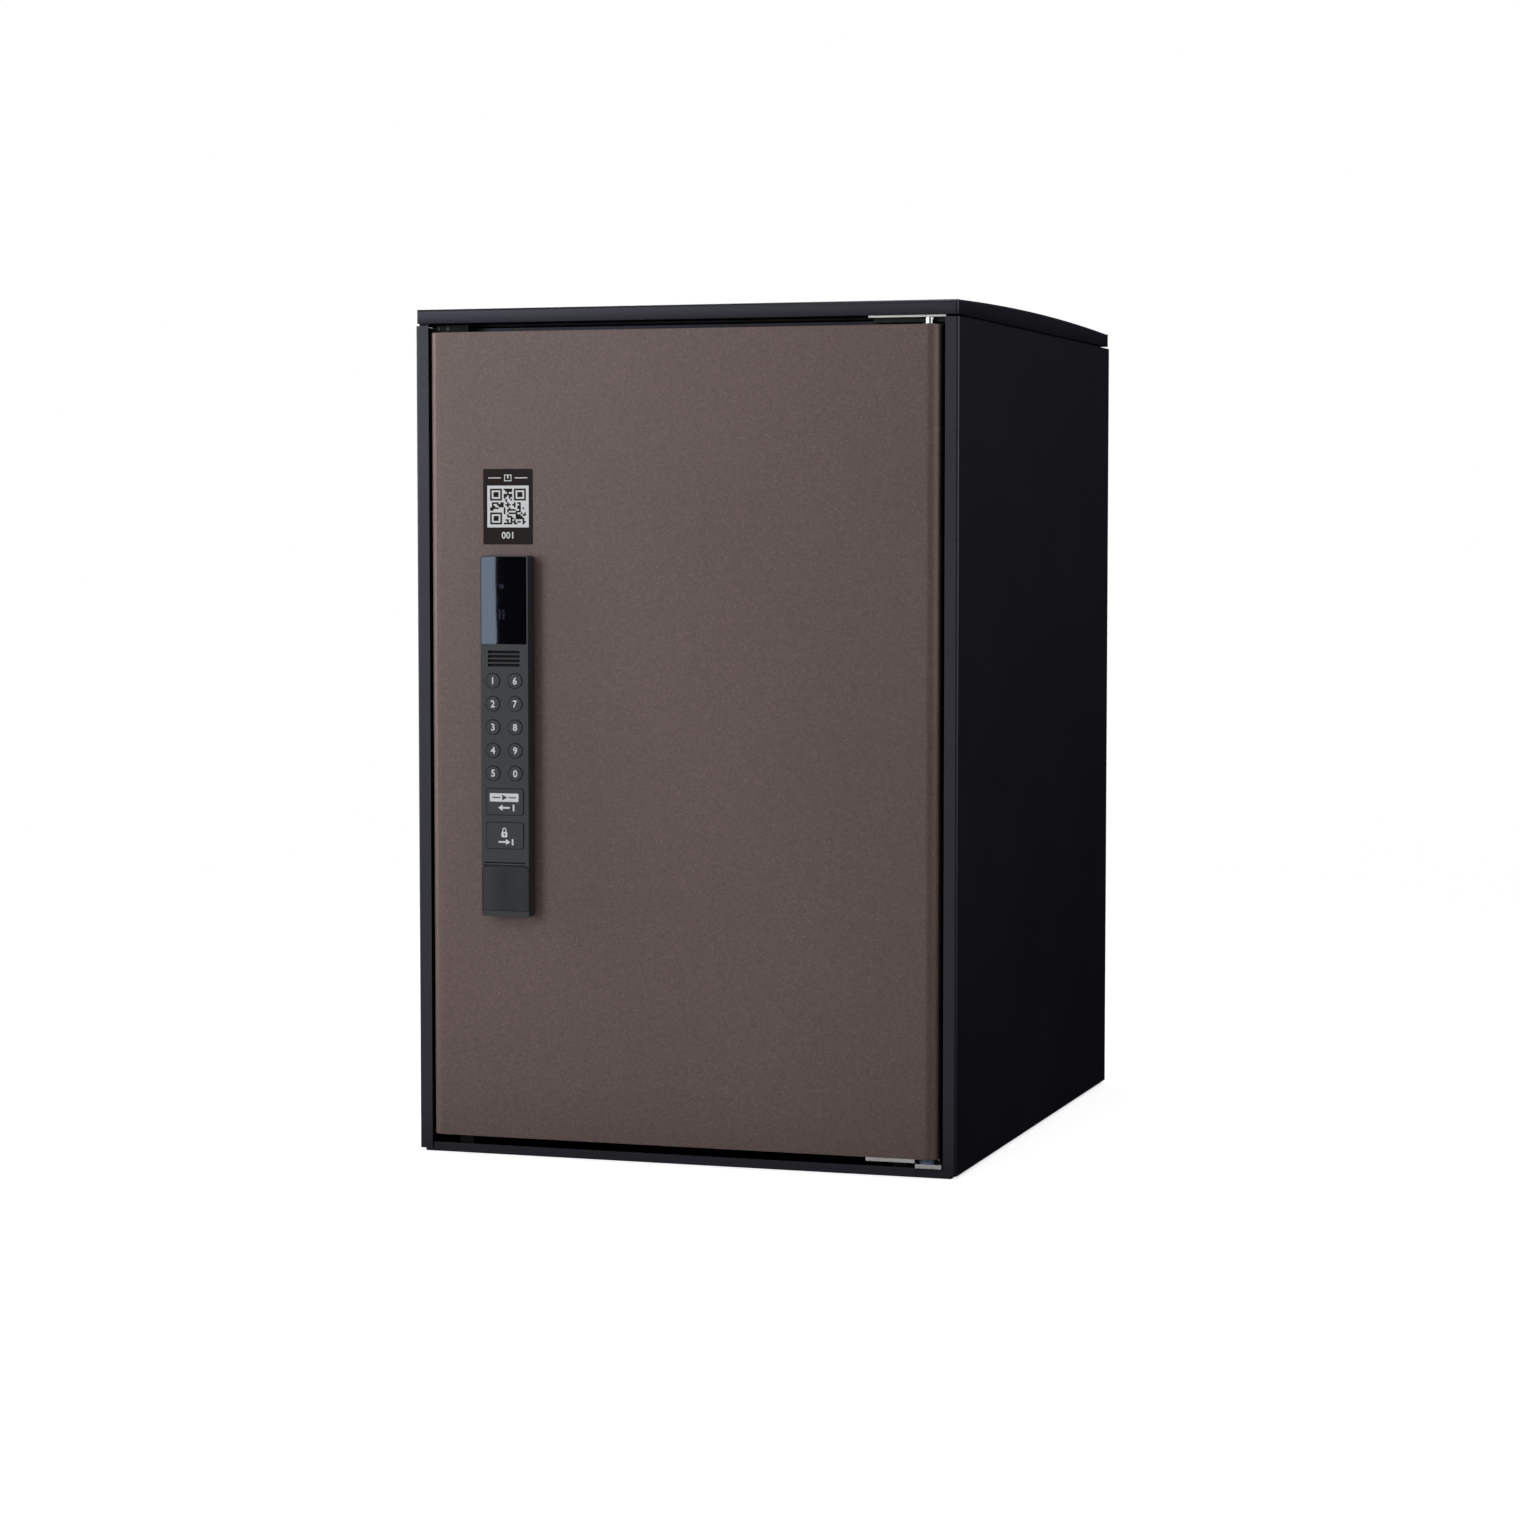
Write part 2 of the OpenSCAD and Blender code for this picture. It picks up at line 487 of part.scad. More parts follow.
// involute pinion
rbase = rp * cos(20);
function inv(f) = tan(f) * 180 / PI - f;
function half_a(r) = 90 / gear_z - 0.05 / rp * 180 / PI + inv(20) - (r > rbase ? inv(acos(rbase / r)) : 0);
module gear2() {
  ro = rp + 0.66 * gear_m;
  rr = rp - gear_m;
  circle(r = rr + 0.02);
  for (k = [0:gear_z - 1]) rotate(k * 360 / gear_z) polygon(concat(
    [[rr - 0.3, -(rr - 0.3) * tan(half_a(rbase))]],
    [for (j = [0:5]) let (r = rbase + (ro - rbase) * j / 5) [r * cos(half_a(r)), -r * sin(half_a(r))]],
    [for (j = [5:-1:0]) let (r = rbase + (ro - rbase) * j / 5) [r * cos(half_a(r)), r * sin(half_a(r))]],
    [[rr - 0.3, (rr - 0.3) * tan(half_a(rbase))]]));
}
module drive_pinion() color([0.8, 0.66, 0.3]) place() translate([mot_x, mot_y, 0]) {
  translate([0, 0, 217]) linear_extrude(10) gear2();
  cz(0, 0, 205, 228.5, 1);
}
module lock_motor() color([0.65, 0.66, 0.68]) place() difference() {
  union() {
    bx(mot_x - 6, mot_y - 5, 200, mot_x + 6, mot_y + 5, 212);
    intersection() {
      cz(mot_x, mot_y, 178, 200, 6);
      bx(mot_x - 6, mot_y - 5, 177, mot_x + 6, mot_y + 5, 201);
    }
  }
  cz(mot_x, mot_y, 204.8, 213, 1.05);
}
bat_x = [25.5, 40.5, 55.5, 70.5];
bc_ax = [y_in + 2.6, 386];
module battery_box() color([0.12, 0.12, 0.13]) place() difference() {
  union() {
    bx(15.2, 0, 321, 80.8, y_in + 1.2, 388);
    for (x = [17, 76]) bx(x, y_in + 1.1, 384.2, x + 3, y_in + 4.2, 387.8);
  }
  bx(17.5, 1.5, 323.5, 78.5, y_in + 2, 382.5);
  cx(bc_ax[0], bc_ax[1], 16, 80, 0.86);
  cz(71.4, 6, 320, 324, 2);
}
module batteries() color([0.2, 0.45, 0.7]) place() for (x = bat_x) {
  cz(x, 9, 328, 376.5, 7.2);
  cz(x, 9, 376.5, 378, 2.7);
}
module battery_contacts() color(zinc) place() for (x = bat_x) {
  bx(x - 5, 4, 323.5, x + 5, 14, 324.1);
  cz(x, 9, 324.1, 328, 3);
  bx(x - 5, 4, 381.9, x + 5, 14, 382.5);
  cz(x, 9, 378, 381.9, 2);
}
module battery_cover() color([0.12, 0.12, 0.13]) place() {
  rry(15.8, 321.5, 80.2, 383.4, 2, y_in + 1.4, y_in + 3.8);
  bx(38, y_in + 3.7, 324, 58, y_in + 6, 328);
  bx(20.2, bc_ax[0] - 1.2, 382, 75.8, bc_ax[0] + 0.3, 386);
  cx(bc_ax[0], bc_ax[1], 20.2, 75.8, 1.3);
  cx(bc_ax[0], bc_ax[1], 17.6, 78.4, 0.8);
}
// harness from the keypad board to the lock case and to the battery box
wp = [[cyl_x, -5, 300], [cyl_x, 6, 300], [45, 6, 280], [45, 6, 238.8], [cyl_x, 6, 322]];
module lock_wiring() color([0.7, 0.15, 0.12]) place() {
  seg(wp[0], wp[1], 1.45);
  seg(wp[1], wp[2], 1.35);
  seg(wp[2], wp[3], 1.4);
  seg(wp[1], wp[4], 1.25);
  for (p = [wp[1], wp[2]]) translate(p) sphere(r = 1.75, $fn = 24);
}

left_side_panel();
right_side_panel();
left_stile();
right_stile();
side_rails();
back_panel();
floor_pan();
ceiling_panel();
roof_lid();
roof_spacer();
upper_hinge_bracket();
lower_hinge_bracket();
upper_hinge_pin();
lower_hinge_pin();
bolt_keeper();
magnet_catch();
stop_bumpers();
panel_rivets();
cabinet_screws();
door_skin();
door_inner_panel();
upper_door_leaf();
lower_door_leaf();
hinge_bushes();
leaf_screws();
door_screws();
keypad_housing();
keypad_gasket();
display_window();
display_module();
speaker();
key_membrane();
keypad_circuit_board();
keypad_screws();
door_label();
lock_case();
lock_case_cover();
lock_motor();
battery_box();
batteries();
battery_contacts();
lock_wiring();
cylinder_housing();
key_1();
key_2();
key_3();
key_4();
key_5();
key_6();
key_7();
key_8();
key_9();
key_0();
open_key();
lock_key();
lock_bolt();
drive_pinion();
override_cover();
cylinder_plug();
battery_cover();
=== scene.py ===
import json
import math
import random
import bpy
import bmesh
from mathutils import Matrix, Vector

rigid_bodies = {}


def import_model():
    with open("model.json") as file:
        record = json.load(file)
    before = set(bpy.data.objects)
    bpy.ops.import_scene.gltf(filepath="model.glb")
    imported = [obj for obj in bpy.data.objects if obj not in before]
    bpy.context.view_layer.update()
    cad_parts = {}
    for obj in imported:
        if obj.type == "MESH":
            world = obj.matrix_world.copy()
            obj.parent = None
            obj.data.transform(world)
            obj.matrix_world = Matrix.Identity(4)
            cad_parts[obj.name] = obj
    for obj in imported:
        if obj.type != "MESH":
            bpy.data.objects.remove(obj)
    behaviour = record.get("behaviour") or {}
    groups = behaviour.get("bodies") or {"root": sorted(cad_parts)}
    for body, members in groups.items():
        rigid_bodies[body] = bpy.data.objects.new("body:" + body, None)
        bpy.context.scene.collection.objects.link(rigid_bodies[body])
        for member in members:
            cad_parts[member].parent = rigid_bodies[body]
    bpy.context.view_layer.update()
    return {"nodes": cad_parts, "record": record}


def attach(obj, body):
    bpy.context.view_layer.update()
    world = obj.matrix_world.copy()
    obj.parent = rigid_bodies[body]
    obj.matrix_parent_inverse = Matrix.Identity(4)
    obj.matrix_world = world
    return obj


for o in list(bpy.data.objects):
    bpy.data.objects.remove(o)

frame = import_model()
N = frame["nodes"]
scene = bpy.context.scene
MM = 0.001
# row frame from the cabinet's layout corner, in millimetres
OX, OY = -195.0, -222.5


def P(x, y, z):
    return Vector(((x + OX) * MM, (y + OY) * MM, z * MM))


def srgb(r, g, b):
    f = lambda c: c / 12.92 if c <= 0.04045 else ((c + 0.055) / 1.055) ** 2.4
    return (f(r / 255.0), f(g / 255.0), f(b / 255.0), 1.0)


# ------------------------------------------------------------------ materials
class Mat:
    def __init__(self, name):
        self.m = bpy.data.materials.new(name)
        self.m.use_nodes = True
        self.t = self.m.node_tree
        for n in list(self.t.nodes):
            self.t.nodes.remove(n)
        self.out = self.t.nodes.new("ShaderNodeOutputMaterial")
        self.b = self.t.nodes.new("ShaderNodeBsdfPrincipled")
        self.t.links.new(self.b.outputs[0], self.out.inputs[0])
        self.tc = self.t.nodes.new("ShaderNodeTexCoord")

    def link(self, a, b):
        self.t.links.new(a, b)

    def n(self, kind, **kw):
        n = self.t.nodes.new(kind)
        for k, v in kw.items():
            if k in n.inputs:
                n.inputs[k].default_value = v
            else:
                setattr(n, k, v)
        return n

    def noise(self, scale, detail=3.0, rough=0.5, dist=0.0, stretch=None):
        src = self.tc.outputs["Object"]
        if stretch:
            mp = self.n("ShaderNodeMapping")
            mp.inputs["Scale"].default_value = stretch
            self.link(src, mp.inputs["Vector"])
            src = mp.outputs[0]
        n = self.n("ShaderNodeTexNoise")
        n.inputs["Scale"].default_value = scale
        n.inputs["Detail"].default_value = detail
        n.inputs["Roughness"].default_value = rough
        n.inputs["Distortion"].default_value = dist
        self.link(src, n.inputs["Vector"])
        return n.outputs["Fac"]

    def voronoi(self, scale, out="Color"):
        n = self.n("ShaderNodeTexVoronoi")
        n.inputs["Scale"].default_value = scale
        self.link(self.tc.outputs["Object"], n.inputs["Vector"])
        return n.outputs[out]

    def ramp(self, fac, stops, interp="LINEAR"):
        n = self.n("ShaderNodeValToRGB")
        cr = n.color_ramp
        cr.interpolation = interp
        while len(cr.elements) < len(stops):
            cr.elements.new(0.5)
        for e, (p, c) in zip(cr.elements, stops):
            e.position = p
            e.color = c if len(c) == 4 else (*c, 1.0)
        self.link(fac, n.inputs["Fac"])
        return n.outputs["Color"]

    def rng(self, fac, a, b, c, d):
        n = self.n("ShaderNodeMapRange")
        for i, v in zip((1, 2, 3, 4), (a, b, c, d)):
            n.inputs[i].default_value = v
        self.link(fac, n.inputs[0])
        return n.outputs[0]

    def mix(self, a, b, fac, mode="MIX"):
        n = self.n("ShaderNodeMix")
        n.data_type = "RGBA"
        n.blend_type = mode
        for sock, v in ((n.inputs[0], fac), (n.inputs[6], a), (n.inputs[7], b)):
            if hasattr(v, "is_linked"):
                self.link(v, sock)
            else:
                sock.default_value = v
        return n.outputs[2]

    def math(self, op, a, b=None):
        n = self.n("ShaderNodeMath")
        n.operation = op
        for s, v in ((n.inputs[0], a), (n.inputs[1], b)):
            if v is None:
                continue
            if hasattr(v, "is_linked"):
                self.link(v, s)
            else:
                s.default_value = v
        return n.outputs[0]

    def bump(self, height, strength, dist, after=None):
        n = self.n("ShaderNodeBump")
        n.inputs["Strength"].default_value = strength
        n.inputs["Distance"].default_value = dist
        self.link(height, n.inputs["Height"])
        if after is not None:
            self.link(after, n.inputs["Normal"])
        return n.outputs[0]

    def set(self, **kw):
        names = dict(color="Base Color", rough="Roughness", metal="Metallic", ior="IOR",
                     spec="Specular IOR Level", coat="Coat Weight", coat_rough="Coat Roughness",
                     normal="Normal", aniso="Anisotropic", sheen="Sheen Weight",
                     tint="Specular Tint", emit="Emission Color", emit_s="Emission Strength",
                     coat_normal="Coat Normal", coat_tint="Coat Tint", coat_ior="Coat IOR")
        for k, v in kw.items():
            s = self.b.inputs[names[k]]
            if hasattr(v, "is_linked"):
                self.link(v, s)
            else:
                s.default_value = v
        return self


def grey(v):
    return (v, v, v, 1.0)


def powder_coat():
    """Satin near-black navy powder coat: fine orange peel, slight tone drift."""
    m = Mat("cabinet_powder_coat")
    peel = m.noise(900, 2, 0.5)
    fine = m.noise(3200, 2, 0.6)
    drift = m.noise(9, 3, 0.5)
    c = m.ramp(drift, [(0.3, (0.0040, 0.0036, 0.0070)), (0.7, (0.0048, 0.0043, 0.0084))])
    c = m.mix(c, m.ramp(fine, [(0.35, grey(0.75)), (0.7, grey(1.25))]), 1.0, "MULTIPLY")
    n = m.bump(peel, 0.10, 0.0004)
    n = m.bump(fine, 0.10, 0.0001, n)
    m.set(color=c, rough=m.rng(drift, 0.3, 0.7, 0.38, 0.43), normal=n, ior=1.56, tint=(0.84, 0.84, 1.0, 1.0))
    return m.m


def door_paint():
    """Brown metallic paint: two sizes of flake under a satin clear film with orange peel."""
    m = Mat("door_metallic_paint")
    flake = m.voronoi(1500)
    sep = m.n("ShaderNodeSeparateColor")
    m.link(flake, sep.inputs[0])
    f1 = sep.outputs[0]
    coarse = m.noise(620, 3, 0.65)
    peel = m.noise(380, 2, 0.5)
    drift = m.noise(6, 2, 0.5)
    base = m.ramp(drift, [(0.3, (0.150, 0.101, 0.092)), (0.7, (0.162, 0.110, 0.100))])
    c = m.mix(base, m.ramp(coarse, [(0.32, grey(0.86)), (0.5, grey(1.0)), (0.68, grey(1.15))]), 1.0, "MULTIPLY")
    c = m.mix(c, m.ramp(f1, [(0.0, grey(0.86)), (0.6, grey(1.0)), (0.93, grey(1.06)), (1.0, grey(1.45))]), 1.0, "MULTIPLY")
    n = m.bump(peel, 0.22, 0.0006)
    n = m.bump(f1, 0.10, 0.0001, n)
    m.set(color=c, metal=0.35, rough=m.rng(f1, 0, 1, 0.46, 0.60), normal=n,
          coat=0.25, coat_rough=0.33, coat_normal=m.bump(peel, 0.12, 0.0006))
    return m.m


def plastic(name, color, rough, grain=2600, depth=0.18, var=0.12, spec=0.5, drift=40):
    m = Mat(name)
    g = m.noise(grain, 3, 0.6)
    d = m.noise(drift, 3, 0.5)
    c0 = tuple(x * (1 - var) for x in color[:3])
    c1 = tuple(x * (1 + var) for x in color[:3])
    c = m.ramp(d, [(0.3, c0), (0.7, c1)])
    c = m.mix(c, m.ramp(g, [(0.35, grey(0.9)), (0.65, grey(1.1))]), 1.0, "MULTIPLY")
    m.set(color=c, rough=m.rng(d, 0.3, 0.7, rough - 0.03, rough + 0.03), spec=spec,
          normal=m.bump(g, depth, 0.0001))
    return m.m


def zinc():
    m = Mat("bright_zinc_plate")
    brush = m.noise(700, 4, 0.6, 0, (1.0, 6.0, 6.0))
    spang = m.noise(90, 3, 0.6)
    c = m.ramp(spang, [(0.3, (0.62, 0.61, 0.60)), (0.7, (0.78, 0.77, 0.75))])
    m.set(color=c, metal=1.0, rough=m.rng(brush, 0.3, 0.7, 0.24, 0.40),
          normal=m.bump(brush, 0.15, 0.0001))
    return m.m


def zinc_with_painted_recess_shade():
    """Zinc plate with painted shade: bright zinc at the front edge, and a near-black colour with higher roughness on
    the recessed part behind it, standing in for the shadow inside the recess.
    """
    m = Mat("zinc_plate_painted_recess_shade")
    brush = m.noise(700, 4, 0.6, 0, (1.0, 6.0, 6.0))
    sep = m.n("ShaderNodeSeparateXYZ")
    m.link(m.tc.outputs["Object"], sep.inputs[0])
    # painted shade: the colour darkens with depth in Y behind the front edge, in place of the recess's shadow
    d = m.rng(sep.outputs[1], -0.2190, -0.2155, 0.0, 1.0)
    c = m.ramp(d, [(0.0, (0.62, 0.60, 0.58)), (1.0, (0.030, 0.028, 0.028))])
    m.set(color=c, metal=1.0, rough=m.rng(brush, 0.3, 0.7, 0.34, 0.48),
          normal=m.bump(brush, 0.15, 0.0001))
    return m.m


def polished(name, color, r0, r1, grain=900, depth=0.05):
    m = Mat(name)
    g = m.noise(grain, 3, 0.6)
    d = m.noise(60, 3, 0.6)
    c = m.ramp(d, [(0.3, tuple(x * 0.9 for x in color)), (0.7, color)])
    m.set(color=c, metal=1.0, rough=m.rng(g, 0.3, 0.7, r0, r1), normal=m.bump(g, depth, 0.0001))
    return m.m


def gloss_window():
    """Smoked acrylic with a faint blue cast to its reflections."""
    m = Mat("smoked_acrylic_window")
    d = m.noise(14, 2, 0.5)
    m.set(color=m.ramp(d, [(0.3, (0.0016, 0.0014, 0.0026)), (0.7, (0.0024, 0.0020, 0.0036))]),
          rough=m.rng(m.noise(700, 2, 0.5), 0.3, 0.7, 0.010, 0.018), ior=1.62,
          tint=(0.66, 0.78, 1.0, 1.0), normal=m.bump(d, 0.02, 0.002))
    return m.m


def circuit():
    m = Mat("green_circuit_board")
    t = m.noise(300, 2, 0.4)
    c = m.ramp(t, [(0.42, (0.010, 0.10, 0.035)), (0.5, (0.016, 0.16, 0.055)), (0.62, (0.014, 0.13, 0.045))])
    m.set(color=c, rough=0.35, coat=0.4, coat_rough=0.15, normal=m.bump(t, 0.1, 0.0002))
    return m.m


def cells():
    m = Mat("wrapped_cells")
    sep = m.n("ShaderNodeSeparateXYZ")
    m.link(m.tc.outputs["Object"], sep.inputs[0])
    z = sep.outputs[2]
    wrap = m.ramp(m.rng(z, 0.328, 0.378, 0, 1), [(0.0, (0.35, 0.35, 0.36)), (0.03, (0.020, 0.10, 0.26)),
                  (0.62, (0.020, 0.10, 0.26)), (0.64, (0.55, 0.56, 0.58)), (0.97, (0.5, 0.5, 0.5))], "CONSTANT")
    g = m.noise(200, 2, 0.5)
    m.set(color=m.mix(wrap, m.ramp(g, [(0.3, grey(0.92)), (0.7, grey(1.06))]), 1.0, "MULTIPLY"),
          rough=m.rng(g, 0.3, 0.7, 0.22, 0.32), coat=0.3, coat_rough=0.1)
    return m.m


def gasket_rubber(name="black_rubber"):
    return plastic(name, (0.012, 0.012, 0.013, 1), 0.75, 1500, 0.3, 0.15)


def printed(name, color, rough=0.45, emit=0.0):
    m = Mat(name)
    g = m.noise(2200, 2, 0.5)
    c0 = tuple(x * 0.95 for x in color[:3])
    c = m.ramp(g, [(0.35, c0), (0.65, tuple(color[:3]))])
    m.set(color=c, rough=m.rng(g, 0.3, 0.7, rough - 0.04, rough + 0.04))
    if emit:
        m.set(emit=(color[0], color[1], color[2], 1.0), emit_s=emit)
    return m.m


M = {
    "cabinet_paint": powder_coat(),
    "door_paint": door_paint(),
    "black_trim": plastic("moulded_black_plastic", (0.006, 0.006, 0.007, 1), 0.6, spec=0.3),
    "screw_black": polished("black_oxide_screws", (0.045, 0.045, 0.05), 0.35, 0.5),
    "zinc_plate": zinc(),
    "bright_pin": polished("polished_steel_pin", (0.86, 0.86, 0.88), 0.10, 0.20),
    "nylon_bush": plastic("blue_grey_nylon", (0.15, 0.19, 0.27, 1), 0.42),
    "rubber_black": gasket_rubber(),
    "keypad_plastic": plastic("textured_keypad_plastic", (0.027, 0.030, 0.034, 1), 0.46, 2600, 0.22, 0.06),
    "key_plastic": plastic("smooth_key_plastic", (0.024, 0.027, 0.030, 1), 0.42, 3200, 0.08, 0.05),
    "window_gloss": gloss_window(),
    "cover_gloss": plastic("satin_cover_plastic", (0.014, 0.017, 0.020, 1), 0.24, 3000, 0.05, 0.05),
    "display_unit": plastic("display_module_glass", (0.02, 0.035, 0.03, 1), 0.25),
    "speaker_metal": plastic("black_speaker_cloth", (0.006, 0.006, 0.007, 1), 0.8, 1600, 0.3),
    "membrane_silicone": plastic("grey_silicone", (0.42, 0.42, 0.40, 1), 0.6, 1800, 0.1),
    "circuit_board": circuit(),
    "label_film": plastic("printed_label_film", (0.0150, 0.0092, 0.0076, 1), 0.50, 1600, 0.05, 0.06, 0.16),
    "motor_steel": polished("ground_steel", (0.62, 0.63, 0.66), 0.22, 0.36, 1200, 0.08),
    "battery_wrap": cells(),
    "wire_red": plastic("insulated_harness", (0.42, 0.02, 0.015, 1), 0.45, 900, 0.1),
    "lock_brass": polished("machined_brass", (0.72, 0.50, 0.22), 0.22, 0.34, 1000, 0.06),
    "plug_nickel": polished("nickel_plate", (0.74, 0.71, 0.66), 0.14, 0.26, 1000, 0.05),
}
WHITE_INK = printed("white_legend_ink", (0.86, 0.87, 0.88), 0.45)
DARK_INK = printed("dark_legend_ink", (0.045, 0.048, 0.05), 0.5)
LABEL_DARK = printed("label_print_dark", (0.013, 0.008, 0.007), 0.55)
LABEL_DARK.node_tree.nodes["Principled BSDF"].inputs["Specular IOR Level"].default_value = 0.16
BLUE_GLOW = printed("faint_blue_indicator", (0.0035, 0.0045, 0.022), 0.06)
BLUE_GLOW.node_tree.nodes["Principled BSDF"].inputs["Specular IOR Level"].default_value = 0.2

# zinc with painted shade on its recessed part, for the upper hinge bracket
PAINTED_RECESS_SHADE = zinc_with_painted_recess_shade()

slot_of = {s["node"]: s["material_slot"] for s in frame["record"]["subparts"]}
for name, o in N.items():
    me = o.data
    if not me.materials:
        me.materials.append(None)
    for i in range(len(me.materials)):
        # the upper hinge bracket takes the zinc with painted shade in its recess
        me.materials[i] = PAINTED_RECESS_SHADE if name == "upper_hinge_bracket" else M[slot_of[name]]


# ------------------------------------------------------------------ rounded sheet edges
def soften(name, width, segments=2, angle=28.0):
    """Edge radii on a carried-over part, as modifiers: weld the shell, merge flat facets, bevel inwards."""
    o = N[name]
    me = o.data
    if "custom_normal" in me.attributes:
        me.attributes.remove(me.attributes["custom_normal"])
    me.polygons.foreach_set("use_smooth", [True] * len(me.polygons))
    w = o.modifiers.new("weld", "WELD")
    w.merge_threshold = 2e-6
    d = o.modifiers.new("flat", "DECIMATE")
    d.decimate_type = "DISSOLVE"
    d.angle_limit = math.radians(0.03)
    b = o.modifiers.new("edge", "BEVEL")
    b.width = width
    b.segments = segments
    b.limit_method = "ANGLE"
    b.angle_limit = math.radians(angle)
    b.harden_normals = True
    b.miter_outer = "MITER_SHARP"


for name, w, s in [
    ("back_panel", 0.0003, 2),
    ("floor_pan", 0.0003, 2), ("ceiling_panel", 0.0003, 2), ("roof_lid", 0.0005, 3),
    ("roof_spacer", 0.0004, 2), ("door_skin", 0.0007, 3), ("door_inner_panel", 0.0003, 2),
    ("upper_hinge_bracket", 0.0002, 2), ("lower_hinge_bracket", 0.0003, 2),
    ("lower_door_leaf", 0.0003, 2), ("upper_door_leaf", 0.0003, 2),
    ("keypad_housing", 0.00025, 2), ("override_cover", 0.00025, 2),
    ("battery_box", 0.0004, 2), ("battery_cover", 0.0004, 2), ("lock_case", 0.0003, 2),
    ("lock_case_cover", 0.0003, 2), ("lock_bolt", 0.0002, 2), ("bolt_keeper", 0.0003, 2),
    ("magnet_catch", 0.0003, 2), ("display_window", 0.0002, 2), ("door_label", 0.00006, 1),
    ("open_key", 0.0003, 3), ("lock_key", 0.0003, 3), ("stop_bumpers", 0.0006, 3),
    ("upper_hinge_pin", 0.0004, 2), ("lower_hinge_pin", 0.0004, 2), ("panel_rivets", 0.0003, 2),
    ("door_screws", 0.0003, 2), ("cylinder_plug", 0.0002, 2), ("batteries", 0.0006, 3),
] + [("key_%d" % i, 0.0004, 3) for i in range(10)]:
    soften(name, w, s)


# the roof sheet's bend radius along its two side edges
lid = N["roof_lid"]
lm = lid.data
wt = lm.attributes.new("bevel_weight_edge", "FLOAT", "EDGE")
xs_lid = [lid.matrix_world @ v.co for v in lm.vertices]
x_out = max(abs(v.x) for v in xs_lid)
for ed in lm.edges:
    a, b = xs_lid[ed.vertices[0]], xs_lid[ed.vertices[1]]
    if (min(abs(a.x), abs(b.x)) > x_out - 1e-5 and abs(a.x - b.x) < 1e-5 and min(a.z, b.z) > 0.585
            and abs(a.z - b.z) < 0.6 * abs(a.y - b.y)):
        wt.data[ed.index].value = 1.0
lid.modifiers.remove(lid.modifiers["edge"])
for nm, wd, sg, lim in (("bend", 0.0020, 5, "WEIGHT"), ("edge", 0.0004, 2, "ANGLE")):
    b = lid.modifiers.new(nm, "BEVEL")
    b.width = wd
    b.segments = sg
    b.limit_method = lim
    b.angle_limit = math.radians(40)
    b.harden_normals = True
    b.use_clamp_overlap = lim == "ANGLE"


# ------------------------------------------------------------------ printed marks
def solid(name, polys, y_front, depth, mat, body):
    """Thin closed plates facing -Y from outlines in cabinet millimetres (x, z)."""
    bm = bmesh.new()
    yf, yk = y_front, y_front + depth
    for poly in polys:
        front = [bm.verts.new(P(x, yf, z)) for x, z in poly]
        back = [bm.verts.new(P(x, yk, z)) for x, z in poly]
        bm.faces.new(front)
        bm.faces.new(list(reversed(back)))
        k = len(poly)
        for i in range(k):
            bm.faces.new((front[i], back[i], back[(i + 1) % k], front[(i + 1) % k]))
    bmesh.ops.recalc_face_normals(bm, faces=bm.faces)
    me = bpy.data.meshes.new(name)
    bm.to_mesh(me)
    bm.free()
    me.materials.append(mat)
    o = bpy.data.objects.new(name, me)
    scene.collection.objects.link(o)
    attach(o, body)
    return o


def rect(x0, z0, x1, z1, r=0.0, k=6):
    if r <= 0:
        return [(x0, z0), (x1, z0), (x1, z1), (x0, z1)]
    pts = []
    for cx, cz, a0 in ((x1 - r, z0 + r, -90), (x1 - r, z1 - r, 0), (x0 + r, z1 - r, 90), (x0 + r, z0 + r, 180)):
        for i in range(k + 1):
            a = math.radians(a0 + 90.0 * i / k)
            pts.append((cx + r * math.cos(a), cz + r * math.sin(a)))
    return pts


def disc(x, z, r, k=28):
    return [(x + r * math.cos(2 * math.pi * i / k), z + r * math.sin(2 * math.pi * i / k)) for i in range(k)]


def text_plate(name, body_text, height, xc, zc, y_front, mat, body, bold=0.018, squeeze=1.0, spacing=1.0):
    """Digits as a thin closed mesh, cap height and centre in cabinet millimetres."""
    cu = bpy.data.curves.new(name + "_font", "FONT")
    cu.body = body_text
    cu.size = 1.0
    cu.offset = bold
    cu.extrude = 0.04
    cu.space_character = spacing
    cu.resolution_u = 8
    fo = bpy.data.objects.new(name + "_font", cu)
    scene.collection.objects.link(fo)
    dg = bpy.context.evaluated_depsgraph_get()
    me = bpy.data.meshes.new_from_object(fo.evaluated_get(dg))
    bpy.data.objects.remove(fo)
    xs = [v.co.x for v in me.vertices]
    ys = [v.co.y for v in me.vertices]
    s = height / (max(ys) - min(ys))
    mx, my = (max(xs) + min(xs)) / 2, (max(ys) + min(ys)) / 2
    for v in me.vertices:
        y = y_front if v.co.z > 0 else y_front + 0.06
        v.co = P(xc + (v.co.x - mx) * s * squeeze, y, zc + (v.co.y - my) * s)
    me.name = name
    bm = bmesh.new()
    bm.from_mesh(me)
    bmesh.ops.remove_doubles(bm, verts=bm.verts, dist=1e-7)
    bmesh.ops.recalc_face_normals(bm, faces=bm.faces)
    bm.to_mesh(me)
    bm.free()
    me.materials.clear()
    me.materials.append(mat)
    o = bpy.data.objects.new(name, me)
    scene.collection.objects.link(o)
    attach(o, body)
    return o


KEY_Y = -16.015          # front of the legends, a hair proud of the keys
cols, rows = (62.9, 79.3), (332.2, 316.3, 300.2, 284.1, 268.3)
for i, d in enumerate("1234567890"):
    text_plate("digit_" + d, d, 4.9, cols[i // 5], rows[i % 5], KEY_Y, WHITE_INK, "key_" + d,
               bold=0.022, squeeze=0.98)

